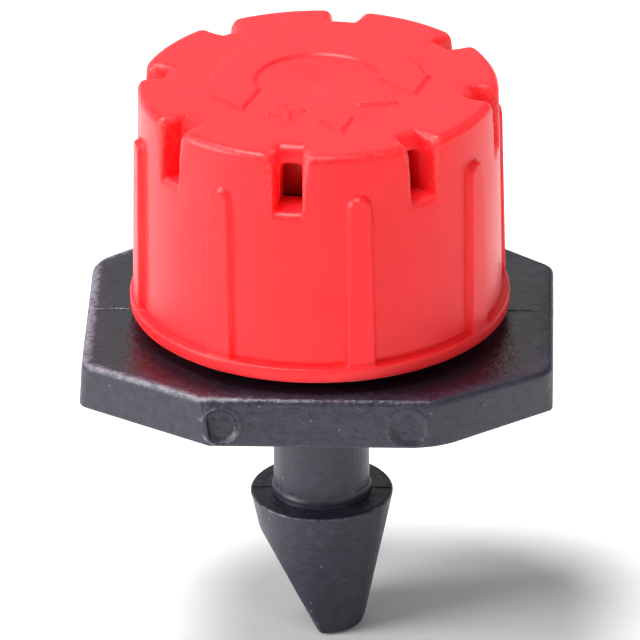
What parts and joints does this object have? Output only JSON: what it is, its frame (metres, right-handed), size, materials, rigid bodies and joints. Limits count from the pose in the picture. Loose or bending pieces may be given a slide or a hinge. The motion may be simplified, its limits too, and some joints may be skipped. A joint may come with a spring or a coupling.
{
  "type": "drip emitter",
  "caption": "Adjustable drip emitter: a barbed octagon base with a threaded post, and a ribbed screw cap with slots round its top edge.",
  "frame": {"origin": "on the axis of the barb, stem and cap, at the underside of the octagonal flange, where the pipe wall stops", "axes": "+Z along the axis towards the cap, the barb points to -Z; X is across the flange's long way, along the mould parting line; the rib under the pointer faces 14 degrees from -Y towards +X"},
  "size_m": [0.0204, 0.018, 0.0258],
  "materials": {
    "base_plastic": "semi-gloss moulded, near black",
    "cap_plastic": "satin translucent moulded red"
  },
  "bodies": {
    "base": {"barbed_base": "base_plastic"},
    "pin": {"metering_pin": "cap_plastic"},
    "cap": {"screw_cap": "cap_plastic"}
  },
  "joints": [
    {"name": "cap_turn", "type": "hinge", "parent": "pin", "child": "cap", "pos_m": [0, 0, 0], "axis": [0, 0, 1], "range_deg": [-72, 540]},
    {"name": "cap_rise", "type": "slide", "parent": "base", "child": "pin", "axis": [0, 0, 1], "range_m": [-0.00041, 0.00301]}
  ],
  "couplings": [
    {"joint": "cap_rise", "follows": "cap_turn", "m_per_rad": 0.00031831}
  ]
}
